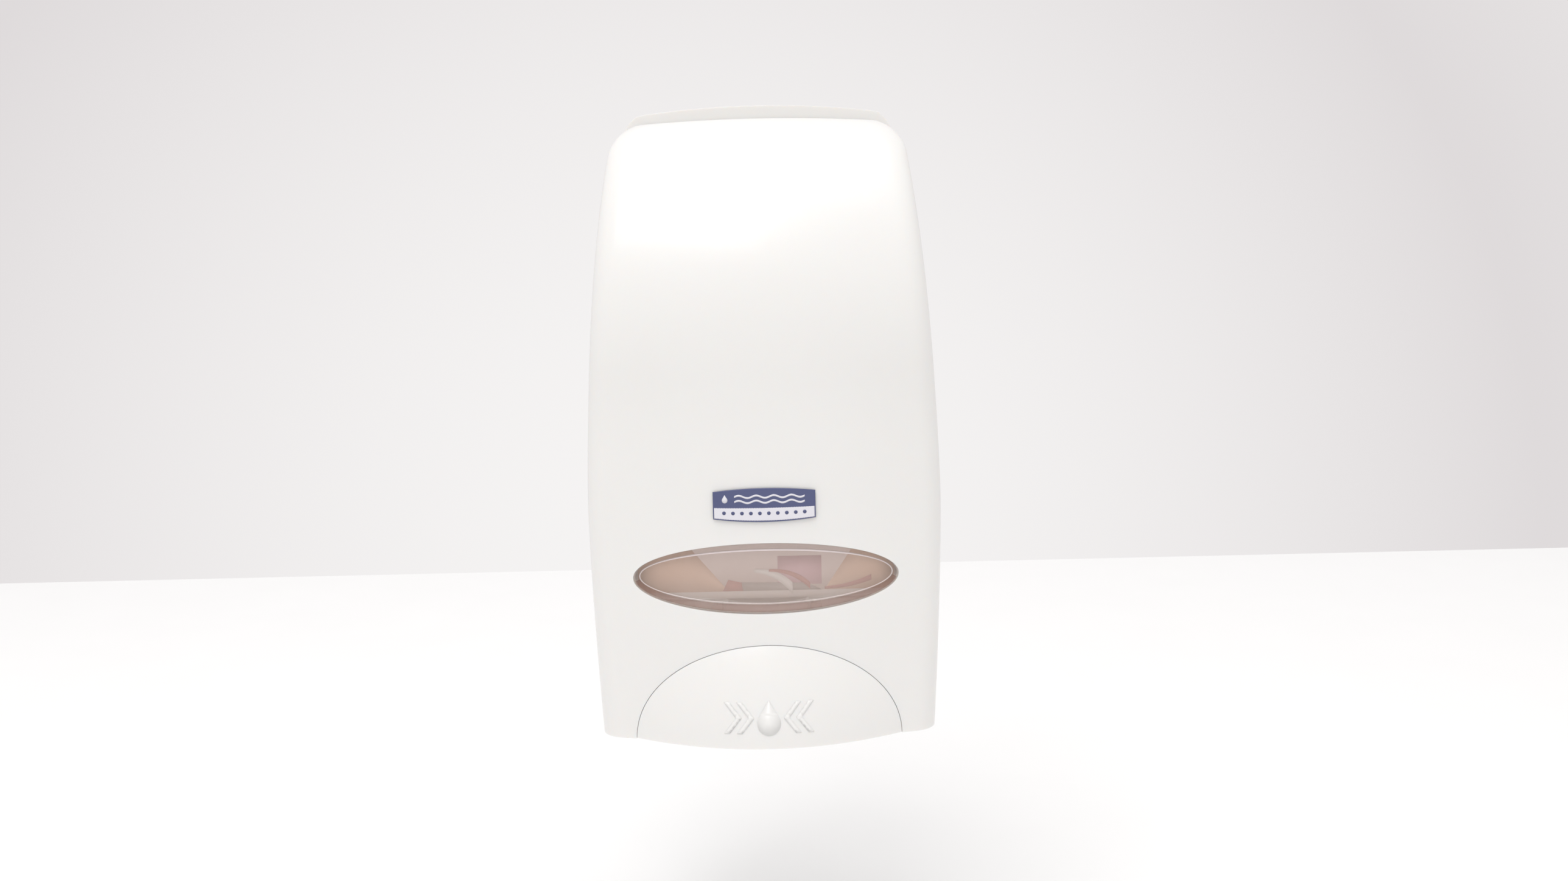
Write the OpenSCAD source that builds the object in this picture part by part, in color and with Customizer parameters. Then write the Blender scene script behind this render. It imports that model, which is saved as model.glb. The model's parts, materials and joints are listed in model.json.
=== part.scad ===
// Wall mounted soap dispenser: a hinged cover with a push lever, over a pump and its bottle.
// Millimetres. X is right, +Y goes into the wall, Z is up, and the wall is the plane Y = 0.
// The modules place things by x, by d, the distance out from the wall, and by h, the height
// above the bottom edge. The origin is the middle of the four wall screw holes.

/* [Case] */
// Widest width of the cover
case_w = 121; // [119:0.5:124]
// Height of the back plate's top rim
case_h = 212.5; // [212:0.5:216]
// Depth from the wall to the front of the push lever
case_d = 138; // [137:0.5:141]
// How far the cover's front falls back at 60 mm from its middle
crown = 8.5; // [7:0.5:9]
// Thickness of the moulded walls
wall = 2.5; // [2.3:0.1:2.7]
// Radius of the cover's two upright front edges
corner_r = 9; // [8:0.5:11]
// Depth of the back plate's tray
tray_d = 18; // [17:0.5:18.5]

/* [Window and badge] */
// Width of the oval window
window_w = 89.3; // [80:0.5:90]
// Height of the oval window
window_h = 23.4; // [20:0.2:24]
// Height of the window's middle above the bottom edge
window_z = 55; // [54.5:0.1:57]
// Width of the badge
badge_w = 34.4; // [24:0.2:40]
// Height of the badge
badge_h = 11.4; // [8:0.2:12]
// Height of the badge's middle above the bottom edge
badge_z = 80; // [78:0.5:90]

/* [Push lever] */
// Width of the arched opening for the lever
arch_w = 90.6; // [86:0.2:91]
// Height of the arched opening
arch_h = 32.4; // [31.5:0.1:32.5]
// How far the lever stands proud of the cover at its bottom
bulge = 9.9; // [8:0.1:10]
// Gap around the lever
lever_gap = 0.4; // [0.3:0.1:0.8]

/* [Wall screws] */
// Distance between the screw holes across
pattern_w = 70; // [60:1:76]
// Distance between the screw holes up
pattern_h = 110; // [100:1:116]
// Diameter of the screw holes
screw_hole = 5; // [4:0.1:5.5]

/* [Pump] */
// Bore of the pump cylinder
pump_bore = 15; // [14:0.2:15.4]
// Outside diameter of the bottle's neck
neck_dia = 28; // [26:0.5:28]

/* [Hidden] */
$fn = 64;

pattern_z = 110;            // height of the origin above the bottom edge
gap = 0.3;                  // between the cover and the tray
cover_h = case_h - 5;       // top of the cover
base_d = case_d - bulge;    // front of the cover at its bottom edge
fore = base_d - 128.1;      // how far the front moves with the depth and the bulge

// The cover's side view: a slight lean, a shallow bend, a large brow arc and a small top arc.
slope = 0.08;
bend_z = 100;
brow_z = 124;
brow_d = base_d - slope * bend_z - slope * (brow_z - bend_z) / 2;
brow_r = 95;
top_r = 30;
top_lean = 84;
top_sin = (cover_h - brow_z - top_r * sin(top_lean)) / (brow_r - top_r);
brow_lean = asin(top_sin);
top_cz = brow_z + (brow_r - top_r) * top_sin;
top_cd = brow_d - brow_r + (brow_r - top_r) * cos(brow_lean);

// The cover's front view: a barrel with rounded shoulders and an arched top.
belly_z = 78;
shoulder_r = 11;
shoulder_z = cover_h - shoulder_r * sin(80);
top_arch = 1.6;

hinge_d = 26;
hinge_z = 6.5;
hinge_r = 2;
hinge_boss_r = 5;
pivot_d = 112;
pivot_z = 38.5;
pivot_r = 2;
pivot_lug_r = 4.5;
push_z = 16;                // height of the pump's axis
lever_base = 0.2;           // bottom edge of the lever
lever_skirt = 9;            // depth of the lever's side walls
neck_d = 84;
shelf_z = 41.5;
bottle_z = shelf_z + 3.3;
bottle_top = 186;
head_d = 112;               // front of the piston's head
running = 0.05;             // radial clearance of pins in their bores
cradle_boss_x = 32;         // the cradle's two screws
cradle_boss_z = 34;
keeper_x = 24.2;            // the latch keeper's two screws
keeper_z = 193;
keeper_d = 14;
keeper_t = 2.2;
bar_x = 21;                 // half width and bottom of the release bar
bar_z = 208.5;
spring_z = 198;             // seat of the latch springs
catch_z = 201.5;            // underside of the cover's catch

// ---- shape functions ----

function half_w(h) = case_w / 2 - (h < belly_z ? 3.3 : 7.8)
    * pow(abs(h - belly_z) / (h < belly_z ? belly_z : 117), 1.5);

// Half width of the cover's front view at height h, t inside its surface
function cover_x(h, t) = h < shoulder_z ? half_w(h) - t
    : half_w(h) - shoulder_r + sqrt(max(pow(shoulder_r - t, 2) - pow(h - shoulder_z, 2), 0));

// Depth of the cover's middle line at height h, t inside its surface
function cover_d(h, t) = h < bend_z ? base_d - slope * h - t
    : h < brow_z ? brow_d - t + slope * pow(brow_z - h, 2) / (brow_z - bend_z) / 2
    : h < brow_z + (brow_r - t) * top_sin
        ? brow_d - brow_r + sqrt(pow(brow_r - t, 2) - pow(h - brow_z, 2))
    : top_cd + sqrt(max(pow(top_r - t, 2) - pow(h - top_cz, 2), 0));

// Depth of the cover's front surface at x and h
function front_d(x, h, t = 0) = cover_d(h, t) - crown * pow(x / 60, 2);

// Depth of the lever's front: its bulge is full at the bottom middle and nothing along the arch
function lever_d(x, h) = front_d(x, h) + bulge * (1 - pow(2 * x / arch_w, 2) - pow(h / arch_h, 2));

// How far the arched top pulls a point down
function sag(x, h) = top_arch * pow(x / 44, 2) * pow(max(h - 150, 0) / (cover_h - 150), 2);

// A point from x, d and h
function at(x, d, h) = [x, -d, h - pattern_z];

// One level outline of the cover: side, corner arc, crowned front, corner arc, side
function cover_ring(h, t, back) = let (
        w = cover_x(h, t),
        r = corner_r - t,
        tilt = atan(2 * crown * (w - 0.7 * r) / 3600),
        edge_x = w - r + r * sin(tilt),
        arc_d = front_d(edge_x, h, t) - r * cos(tilt),
        right = [for (i = [0:6]) let (a = (90 - tilt) * i / 6)
            [w - r + r * cos(a), arc_d + r * sin(a)]],
        front = [for (i = [1:15]) let (x = edge_x * (1 - i / 8)) [x, front_d(x, h, t)]],
        half = concat([[w, back], [w, (back + arc_d) / 2]], right))
    concat(half, front, [for (i = [len(half) - 1:-1:0]) [-half[i][0], half[i][1]]]);

// Heights of the outlines, from the bottom edge to the top; the hollow starts below the edge
function cover_levels(t) = concat([t > 0 ? -1 : 0], [for (i = [1:12]) brow_z * i / 12],
    [for (i = [1:12]) brow_z + (brow_r - t) * sin(brow_lean * i / 12)],
    [for (i = [1:6]) top_cz + (top_r - t) * sin(brow_lean + (top_lean - brow_lean) * i / 6)]);

// ---- helpers ----

// A solid through rings with the same number of points, closed by a flat end at each side
module loft(rings) {
    n = len(rings[0]);
    last = len(rings) - 1;
    points = [for (ring = rings) for (p = ring) p];
    sides = [for (j = [0:last - 1]) for (i = [0:n - 1]) let (k = (i + 1) % n)
        each [[j * n + i, j * n + n + i, j * n + k], [j * n + k, j * n + n + i, j * n + n + k]]];
    ends = [[for (i = [0:n - 1]) i], [for (i = [n - 1:-1:0]) last * n + i]];
    polyhedron(points, concat(sides, ends), convexity = 8);
}

// Evaluates a freeform shape as one mesh, so that exact bosses can be joined to it
module as_mesh() {
    resize([0, 0, 0]) children();
}

module block(x0, x1, d0, d1, h0, h1) {
    translate(at(x0, d1, h0)) cube([x1 - x0, d1 - d0, h1 - h0]);
}

module rod_x(r, x0, x1, d, h) {
    translate(at(x0, d, h)) rotate([0, 90, 0]) cylinder(r = r, h = x1 - x0);
}

module rod_y(r, d0, d1, x, h) {
    translate(at(x, d0, h)) rotate([90, 0, 0]) cylinder(r = r, h = d1 - d0);
}

module rod_z(r, h0, h1, x, d) {
    translate(at(x, d, h0)) cylinder(r = r, h = h1 - h0);
}

// A plate of thickness x1 - x0 whose side view is a list of [d, h] points
module side_plate(x0, x1, outline) {
    translate([x0, 0, -pattern_z]) rotate([90, 0, 90])
        linear_extrude(x1 - x0) polygon([for (p = outline) [-p[0], p[1]]]);
}

module both_sides() {
    children();
    mirror([1, 0, 0]) children();
}

// An oval prism along Y, used to cut the window and the arch
module oval(half_x, half_h, h) {
    translate(at(0, 90, h)) rotate([90, 0, 0])
        scale([half_x, half_h, 1]) cylinder(r = 1, h = 60, $fn = 96);
}

// A wire coil along Z from the origin, with even turns
module coil(radius, wire_r, length, turns) {
    steps = 14;
    rise = (length - 2 * wire_r) / (turns * steps);
    loft([for (i = [0:turns * steps]) let (a = 360 * i / steps, z = wire_r + rise * i)
        [for (k = [0:7]) let (r = radius + wire_r * cos(45 * k))
            [r * cos(a), r * sin(a), z - wire_r * sin(45 * k)]]]);
}

module cross_screw(head_r, shank_r, d_head, length, x, h) {
    difference() {
        union() {
            rod_y(head_r, d_head, d_head + 2.2, x, h);
            rod_y(shank_r, d_head - length, d_head + 1, x, h);
        }
        block(x - 0.5, x + 0.5, d_head + 1, d_head + 3, h - 2, h + 2);
        block(x - 2, x + 2, d_head + 1, d_head + 3, h - 0.5, h + 0.5);
    }
}

// ---- back plate and what is fixed to it ----

plate_side = 1.2;           // how far the tray stays inside the cover's side
rim_r = 10;
rim_z = case_h - rim_r - 1.5;
lip_h = 7;                  // the tray's top edge turns down in front as a lip
lip_t = 3;
lip_z = 185;

// Outline of the tray: barrel sides, rounded top corners and an arched top edge
function tray_x(h) = half_w(h) - plate_side
    - (h > rim_z ? rim_r - sqrt(max(pow(rim_r, 2) - pow(h - rim_z, 2), 0)) : 0);
function tray_top(x) = case_h - 3.6 * pow(x / 50, 2);

module tray_area(inset) {
    levels = concat([for (i = [0:16]) rim_z * i / 16],
        [for (i = [1:14]) rim_z + rim_r * sin(5.5 * i)]);
    edge = [for (h = levels) [tray_x(h) - inset, max(h, inset)]];
    side = [for (p = edge) if (p[1] < tray_top(p[0]) - inset - 0.2) p];
    top_x = edge[len(edge) - 1][0];
    arch = [for (i = [0:16]) let (x = top_x * (1 - i / 8)) [x, tray_top(x) - inset]];
    polygon(concat(side, arch, [for (i = [len(side) - 1:-1:0]) [-side[i][0], side[i][1]]]));
}

module tray_solid(d0, d1, inset) {
    translate([0, -d0, -pattern_z]) rotate([90, 0, 0]) linear_extrude(d1 - d0) tray_area(inset);
}

module back_plate() {
    color("whitesmoke") difference() {
        union() {
            tray_solid(0, wall, 0);
            difference() {
                tray_solid(0, tray_d, 0);
                tray_solid(-1, tray_d + 1, wall);
            }
            intersection() {
                difference() {
                    tray_solid(tray_d - lip_t, tray_d, 0);
                    tray_solid(0, tray_d + 1, lip_h);
                }
                block(-80, 80, 0, tray_d + 1, lip_z, case_h + 1);
            }
            for (sx = [-1, 1], sz = [-1, 1])
                rod_y(6, 1, 5, sx * pattern_w / 2, pattern_z + sz * pattern_h / 2);
            both_sides() {
                block(46, 51, 1, hinge_d, 1, hinge_z + hinge_boss_r);
                rod_x(hinge_boss_r, 46, 51, hinge_d, hinge_z);
                rod_y(4.5, 1, 9, cradle_boss_x, cradle_boss_z);
                rod_y(3.2, 1, keeper_d - 0.2, keeper_x, keeper_z);
                block(13.8, 15.2, 1, keeper_d - 0.2, 189.5, spring_z);
                block(13.8, 20.8, 1, keeper_d - 0.2, spring_z - 2.5, spring_z);
                block(38, 39.5, 1, 7, 62, 158);
            }
        }
        for (sx = [-1, 1], sz = [-1, 1])
            rod_y(screw_hole / 2, -1, 6, sx * pattern_w / 2, pattern_z + sz * pattern_h / 2);
        both_sides() {
            rod_x(hinge_r + running, 45, 52, hinge_d, hinge_z);
            rod_y(1.6, 2, 10, cradle_boss_x, cradle_boss_z);
            rod_y(1.3, 2, 14, keeper_x, keeper_z);
        }
        block(-bar_x - 0.4, bar_x + 0.4, 5.6, 14.4, 207, case_h + 1);
    }
}

module pump_cradle() {
    color("gainsboro") difference() {
        union() {
            block(-40, 40, 9, 12, 29, shelf_z + 3);
            block(-40, 40, 9, 100, shelf_z, shelf_z + 3);
            both_sides() {
                side_plate(22, 24.5, [[9, 29], [70, shelf_z + 1], [9, shelf_z + 1]]);
                side_plate(37.5, 40, [[9, 29], [90, shelf_z + 1], [9, shelf_z + 1]]);
            }
        }
        rod_z(neck_dia / 2 + 0.6, shelf_z - 1, shelf_z + 4, 0, neck_d);
        block(-neck_dia / 2 - 0.6, neck_dia / 2 + 0.6, neck_d, 101, shelf_z - 1, shelf_z + 4);
        both_sides() rod_y(2.1, 8, 13, cradle_boss_x, cradle_boss_z);
    }
}

module cradle_screws() {
    color("silver") both_sides() cross_screw(3.6, 1.55, 12, 8.5, cradle_boss_x, cradle_boss_z);
}

module latch_slide() {
    color("lightgray") union() {
        intersection() {
            block(-bar_x, bar_x, 6, 14, bar_z, case_h + 1);
            tray_solid(0, 20, 0);
        }
        both_sides() block(10.5, 13.5, 7, 13, 190.5, bar_z + 0.5);
        block(-13.5, 13.5, 7, 13, 190.5, 194);
        block(-5, 5, 10.3, 13.7, 192, 203.3);
    }
}

module latch_springs() {
    color("silver") both_sides() translate(at(18, 10, spring_z)) coil(1.9, 0.35, bar_z - spring_z, 6);
}

module latch_keeper() {
    color("gainsboro") difference() {
        block(-27.5, 27.5, keeper_d, keeper_d + keeper_t, 188.8, 200);
        both_sides() rod_y(1.8, keeper_d - 1, keeper_d + 3, keeper_x, keeper_z);
    }
}

module keeper_screws() {
    color("silver") both_sides() cross_screw(2.8, 1.25, keeper_d + keeper_t, 9, keeper_x, keeper_z);
}

module cover_hinge_pins() {
    color("silver") both_sides() rod_x(hinge_r, 45.5, 54.8, hinge_d, hinge_z);
}

// ---- cover ----

module cover_solid(t, back) {
    loft([for (h = cover_levels(t))
        [for (p = cover_ring(h, t, back)) at(-p[0], p[1], h - sag(p[0], h))]]);
}

module cover_shell() {
    difference() {
        cover_solid(0, tray_d + gap);
        cover_solid(wall, 5);
        oval(window_w / 2 + 0.3, window_h / 2 + 0.3, window_z);
        oval(arch_w / 2, arch_h, 0);
        difference() {
            block(-80, 80, 10, hinge_d, -1, hinge_z);
            rod_x(6, -80, 80, hinge_d, hinge_z);
        }
    }
}

module front_cover() {
    color("white") difference() {
        union() {
            as_mesh() cover_shell();
            both_sides() {
                rod_x(hinge_boss_r, 51.3, half_w(hinge_z) - 1.4, hinge_d, hinge_z);
                rod_x(pivot_lug_r, 15, 19, pivot_d, pivot_z);
                block(15, 19, pivot_d, 123 + fore, pivot_z - pivot_lug_r, 39.2);
            }
            block(-9, 9, 8.5, 22, catch_z, catch_z + 2);
            block(-9, 9, tray_d + 0.6, 22, catch_z, cover_h - 1.5);
        }
        both_sides() {
            rod_x(hinge_r + running, 50, 55, hinge_d, hinge_z);
            rod_x(pivot_r + running, 14, 20, pivot_d, pivot_z);
        }
        block(-5.6, 5.6, 9.9, 14.1, catch_z - 1.5, catch_z + 3.5);
    }
}

// The lens is a shallow dish: a flat oval face, a sloping rim and a flange behind the cover
module window_lens() {
    dish = [[0.02, -3.3], [0.5, -3.3], [window_w / 2 - 2.75, -3.3], [window_w / 2, -0.3],
        [window_w / 2, -2.9], [window_w / 2 + 3.5, -2.9], [window_w / 2 + 3.5, -4.7],
        [window_w / 2 - 1.5, -5.1], [0.5, -5.1], [0.02, -5.1]];
    steps = 72;
    color([0.62, 0.5, 0.48, 0.6]) loft([for (s = dish) [for (i = [0:steps - 1]) let (
        a = -360 * i / steps,
        x = s[0] * cos(a),
        h = window_z + max(s[0] - (window_w - window_h) / 2, s[0] * 0.26) * sin(a))
        at(x, front_d(x, h) + s[1], h)]]);
}

module badge() {
    cols = 16;
    rows = 6;
    color("slateblue") loft([for (j = [0:rows]) let (v = 2 * j / rows - 1)
        [for (i = [0:2 * cols + 1]) let (
            k = i <= cols ? i : 2 * cols + 1 - i,
            x = badge_w / 2 * (2 * k / cols - 1),
            h = badge_z + v * (badge_h / 2 - 1.1 * pow(2 * x / badge_w, 2)))
            at(x, front_d(x, h) + (i <= cols ? 1 : 0.15), h)]]);
}

// ---- push lever ----

// One level outline of the lever: its front, and the hollow behind it where there is one
function lever_ring(h, hollow) = let (
        rx = arch_w / 2 - lever_gap,
        rz = arch_h - lever_gap,
        x0 = rx * sqrt(1 - pow(h / rz, 2)),
        x1 = min(x0 - 1, (rx - wall) * sqrt(max(1 - pow(h / (rz - wall), 2), 0)) + 0.5),
        back = [for (x = [x0, x1]) at(x, lever_d(x, h) - lever_skirt, h)],
        depth = hollow ? wall : lever_skirt - 0.01,
        front = [for (i = [-8:8]) let (x = x0 * sin(90 * i / 8)) at(x, lever_d(x, h), h)],
        inner = [for (i = [0:16]) let (x = x1 * (1 - i / 8)) at(x, lever_d(x, h) - depth, h)])
    concat(front, back, inner, [for (i = [1, 0]) [-back[i][0], back[i][1], back[i][2]]]);

module lever_shell() {
    rz = arch_h - lever_gap;
    floor_h = lever_base + wall;
    roof = rz - wall - 0.3;
    loft(concat([for (h = [lever_base, floor_h]) lever_ring(h, false)],
        [for (i = [0:10]) lever_ring(floor_h + 0.01 + (roof - floor_h) * sin(9 * i), true)],
        [for (h = [roof + 0.02, rz - 1.6, rz - 0.9, rz - 0.4, rz - 0.1]) lever_ring(h, false)]));
}

module push_lever() {
    color("white") difference() {
        union() {
            lever_shell();
            rod_x(5, -14, 14, pivot_d, pivot_z);
            both_sides() side_plate(11, 14,
                [[107, 38.5], [112, 22], [124 + fore, 22], [121 + fore, 30], [119.8 + fore, 34],
                [116.5 + fore, 40.5]]);
            side_plate(-14, 14, [[114, 33], [121 + fore, 27], [123.5 + fore, 27], [120 + fore, 34],
                [114, 38]]);
            rod_y(6, head_d + 2.8, 130.5 + fore, 0, push_z);
        }
        rod_x(pivot_r + running, -15, 15, pivot_d, pivot_z);
        rod_y(2.05, head_d, head_d + 8, 0, push_z);
    }
}

module lever_pin() {
    color("silver") rod_x(pivot_r, -21, 21, pivot_d, pivot_z);
}

// A rubber button with a domed face, pushed into the end of the lever's post
module lever_buffer() {
    color("dimgray") union() {
        rod_y(2, head_d + 2, head_d + 7.5, 0, push_z);
        intersection() {
            translate(at(0, head_d + gap + 5, push_z)) sphere(r = 5);
            rod_y(5, head_d, head_d + 2.8, 0, push_z);
        }
    }
}

// ---- bottle and pump ----

// The bottle's body, t inside its surface: its side view, front view and plan in one
module bottle_body(t) {
    front = 112 - t;
    round_r = brow_r - 5;
    profile = concat([[10 + t, bottle_z + t], [front, bottle_z + t], [front, 120]],
        [for (i = [1:9]) let (a = 5.2 * i) [front - round_r * (1 - cos(a)), 120 + round_r * sin(a)]],
        [[66 - t, bottle_top - t], [10 + t, bottle_top - t]]);
    side = [for (p = profile) if (p[1] <= bottle_top - t) p];
    intersection() {
        side_plate(-47 + t, 47 - t, side);
        translate([0, 0, -pattern_z]) linear_extrude(200) translate([0, -61])
            offset_square(94 - 2 * t, 102 - 2 * t, 10 - t);
        translate([0, 0, bottle_z - pattern_z + (bottle_top - bottle_z) / 2]) rotate([90, 0, 0])
            linear_extrude(130) offset_square(94 - 2 * t, bottle_top - bottle_z - 2 * t, 10 - t);
    }
}

// A rectangle centred on the origin with arcs for corners
module offset_square(w, h, r) {
    square([w - 2 * r, h], center = true);
    square([w, h - 2 * r], center = true);
    for (sx = [-1, 1], sy = [-1, 1]) translate([sx * (w / 2 - r), sy * (h / 2 - r)]) circle(r);
}

module bottle() {
    color("white", 0.6) difference() {
        union() {
            bottle_body(0);
            rod_z(neck_dia / 2, 34.5, bottle_z + 2, 0, neck_d);
        }
        bottle_body(1.4);
        rod_z(neck_dia / 2 - 2, 33, bottle_z + 4, 0, neck_d);
    }
}

// The label wraps round the bottle's front corners
module bottle_label() {
    color("rosybrown") intersection() {
        difference() {
            bottle_body(-0.35);
            bottle_body(-0.05);
        }
        block(-44, 44, 104, 113, 48, 112);
    }
}

module pump_collar() {
    color("white") difference() {
        union() {
            rod_z(18.4, 28.5, 41, 0, neck_d);
            for (i = [0:23]) translate(at(0, neck_d, 0)) rotate([0, 0, 15 * i]) translate([18.3, 0, 29.5])
                cylinder(r = 0.7, h = 11, $fn = 16);
        }
        rod_z(neck_dia / 2 + running, 30.5, 42, 0, neck_d);
        rod_z(8, 28, 31, 0, neck_d);
    }
}

module collar_gasket() {
    color("dimgray") difference() {
        rod_z(neck_dia / 2 - 0.2, 33, 34.5, 0, neck_d);
        rod_z(neck_dia / 2 - 4, 32, 35, 0, neck_d);
    }
}

module pump_body() {
    color("lightgray") difference() {
        union() {
            rod_y(10, 77, 101.5, 0, push_z);
            rod_z(7.5, push_z, 31, 0, neck_d);
            rod_z(neck_dia / 2 - 0.4, 30.5, 33, 0, neck_d);
            rod_z(6, 4.5, push_z, 0, neck_d + 2);
        }
        rod_y(pump_bore / 2, 79.5, 102, 0, push_z);
        rod_z(2.6, push_z, 25, 0, neck_d);
        rod_z(3.6, 24, 30.5, 0, neck_d);
        rod_z(2.2, 30, 34, 0, neck_d);
        rod_z(2.2, 6, push_z, 0, neck_d + 2);
        rod_z(4, 4, 7.2, 0, neck_d + 2);
    }
}

module inlet_valve() {
    color("silver") translate(at(0, neck_d, 25.6)) sphere(r = 3);
}

module pump_piston() {
    color("gainsboro") difference() {
        union() {
            rod_y(8, head_d - 2.7, head_d, 0, push_z);
            rod_y(4, 97, head_d - 1, 0, push_z);
            rod_y(pump_bore / 2 - running, 97.2, 101.2, 0, push_z);
        }
        difference() {
            rod_y(8, 98.2, 100.2, 0, push_z);
            rod_y(pump_bore / 2 - 1.6, 98, 100.4, 0, push_z);
        }
    }
}

module piston_seal() {
    color("black") translate(at(0, 99.2, push_z)) rotate([90, 0, 0])
        rotate_extrude() translate([pump_bore / 2 - 0.83, 0]) circle(r = 0.75, $fn = 24);
}

module pump_spring() {
    color("silver") translate(at(0, 79.6, push_z)) rotate([90, 0, 0]) coil(5, 0.5, 17.5, 6);
}

module piston_cap() {
    color("white") difference() {
        rod_y(11.5, 95.5, 103.5, 0, push_z);
        rod_y(10 + running, 95, 101.6, 0, push_z);
        rod_y(4 + running, 101, 104, 0, push_z);
    }
}

// A duckbill: a flanged sleeve that narrows to a closed slit
module outlet_valve() {
    color("lightgray") translate(at(0, neck_d + 2, 0)) difference() {
        rotate_extrude() polygon([[0, 2.6], [1.4, 2.6], [2.6, 4.6], [3.8, 4.6], [3.8, 6.4], [0, 6.4]]);
        rotate_extrude() polygon([[0, 3.4], [0.5, 3.4], [1.8, 5], [1.8, 7], [0, 7]]);
        translate([-1.2, -0.1, 2]) cube([2.4, 0.2, 2]);
    }
}

module nozzle() {
    color("white") translate(at(0, neck_d + 2, 0)) difference() {
        rotate_extrude() polygon([[3, 1], [4.6, 1], [7.4, 3], [7.4, 5.7], [3, 5.7]]);
        translate([0, 0, 4.4]) cylinder(r = 6 + running, h = 5);
    }
}

back_plate();
pump_cradle();
cradle_screws();
latch_slide();
latch_springs();
latch_keeper();
keeper_screws();
cover_hinge_pins();
front_cover();
window_lens();
badge();
push_lever();
lever_pin();
lever_buffer();
bottle();
bottle_label();
pump_collar();
collar_gasket();
pump_body();
inlet_valve();
pump_piston();
piston_seal();
pump_spring();
piston_cap();
outlet_valve();
nozzle();
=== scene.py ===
"""Looks of a wall mounted soap dispenser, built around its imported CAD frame.

The shape functions work in millimetres: x to the right, d out from the wall and h up from the
bottom edge. at() turns them into the frame's metres.
"""
import json
import math

import bmesh
import bpy
from mathutils import Matrix, Vector
from mathutils.geometry import delaunay_2d_cdt


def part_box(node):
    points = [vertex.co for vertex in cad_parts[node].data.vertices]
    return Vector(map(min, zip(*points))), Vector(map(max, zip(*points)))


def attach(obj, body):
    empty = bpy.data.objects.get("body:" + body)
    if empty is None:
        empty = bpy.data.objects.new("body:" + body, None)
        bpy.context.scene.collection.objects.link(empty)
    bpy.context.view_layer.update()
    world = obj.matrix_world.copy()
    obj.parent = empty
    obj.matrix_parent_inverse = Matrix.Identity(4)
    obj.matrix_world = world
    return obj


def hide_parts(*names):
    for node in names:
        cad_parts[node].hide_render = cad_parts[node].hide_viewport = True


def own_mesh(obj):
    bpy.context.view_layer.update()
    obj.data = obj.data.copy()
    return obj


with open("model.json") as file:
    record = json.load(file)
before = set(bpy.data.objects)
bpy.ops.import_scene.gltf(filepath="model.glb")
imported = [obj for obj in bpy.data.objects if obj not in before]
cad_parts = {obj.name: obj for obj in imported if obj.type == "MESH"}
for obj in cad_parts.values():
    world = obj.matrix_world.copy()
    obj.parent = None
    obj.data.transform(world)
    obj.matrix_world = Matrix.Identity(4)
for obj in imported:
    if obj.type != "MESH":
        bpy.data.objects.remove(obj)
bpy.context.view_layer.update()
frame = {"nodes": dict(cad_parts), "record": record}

MM = 0.001
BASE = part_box("back_plate")[0].z          # height of the bottom edge in the frame


def at(x, d, h):
    return Vector((x * MM, -d * MM, BASE + h * MM))


def cad(node):
    """A CAD node's box in millimetres: (x0, x1), (d0, d1), (h0, h1)"""
    low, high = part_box(node)
    return ((low.x / MM, high.x / MM), (-high.y / MM, -low.y / MM),
            ((low.z - BASE) / MM, (high.z - BASE) / MM))


# ---- driving dimensions, from the frame ----

COVER_X, _, COVER_H = cad("front_cover")
CASE_W = COVER_X[1] - COVER_X[0]
COVER_TOP = COVER_H[1]
TRAY_D = 18.0
TRAY_TOP = cad("back_plate")[2][1]
RIM_R, RIM_Z = 10.0, TRAY_TOP - 11.5      # round the tray's upper corners
RIM_FROM = 185.0                          # above this height the tray's front edge is round
TRAY_INSET = 1.2                          # from the case's outline to the tray's
TRAY_CROWN, TRAY_SPAN = 3.6, 50.0         # fall of the tray's top edge at this distance from the middle
COVER_BACK = TRAY_D + 0.3
WALL = 2.5

LENS_X, _, LENS_H = cad("window_lens")
FLANGE = 3.5                              # of the lens, behind the cover
LENS_GAP = 0.3                            # between the lens and the window's edge
WINDOW_A = (LENS_X[1] - LENS_X[0]) / 2 - FLANGE
WINDOW_B = (LENS_H[1] - LENS_H[0]) / 2 - FLANGE
WINDOW_Z = (LENS_H[0] + LENS_H[1]) / 2

LEVER_X, LEVER_D, LEVER_H = cad("push_lever")
LEVER_GAP = 0.4
ARCH_A = (LEVER_X[1] - LEVER_X[0]) / 2 + LEVER_GAP
ARCH_B = 32.4
SEAM = 0.18                               # what is left of that gap between the rounded edges
LEVER_BASE = LEVER_H[0]
BULGE = 9.9                               # how far the lever stands proud at its bottom middle
SLOPE = 0.08                              # lean of the cover's lower front
# Front of the cover at its bottom edge, under the lever
BASE_D = LEVER_D[1] + SLOPE * LEVER_BASE - BULGE * (1 - (LEVER_BASE / ARCH_B) ** 2)

# ---- the case's shape, as in the CAD design ----

CROWN, CROWN_SPAN = 8.5, 60.0             # fall of the front at this distance from the middle
CORNER_R = 9.0
BEND_Z, BROW_Z = 100.0, 124.0
BROW_D = BASE_D - SLOPE * BEND_Z - SLOPE * (BROW_Z - BEND_Z) / 2
BROW_R, TOP_R, TOP_LEAN = 95.0, 30.0, math.radians(84)
TOP_SIN = (COVER_TOP - BROW_Z - TOP_R * math.sin(TOP_LEAN)) / (BROW_R - TOP_R)
BROW_LEAN = math.asin(TOP_SIN)
TOP_CZ = BROW_Z + (BROW_R - TOP_R) * TOP_SIN
TOP_CD = BROW_D - BROW_R + (BROW_R - TOP_R) * math.cos(BROW_LEAN)
HINGE_D, HINGE_Z, NOTCH_R = 26.0, 6.5, 6.0
BELLY_Z = 78.0
SHOULDER_R = 11.0
SHOULDER_Z = COVER_TOP - SHOULDER_R * math.sin(math.radians(80))
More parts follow.
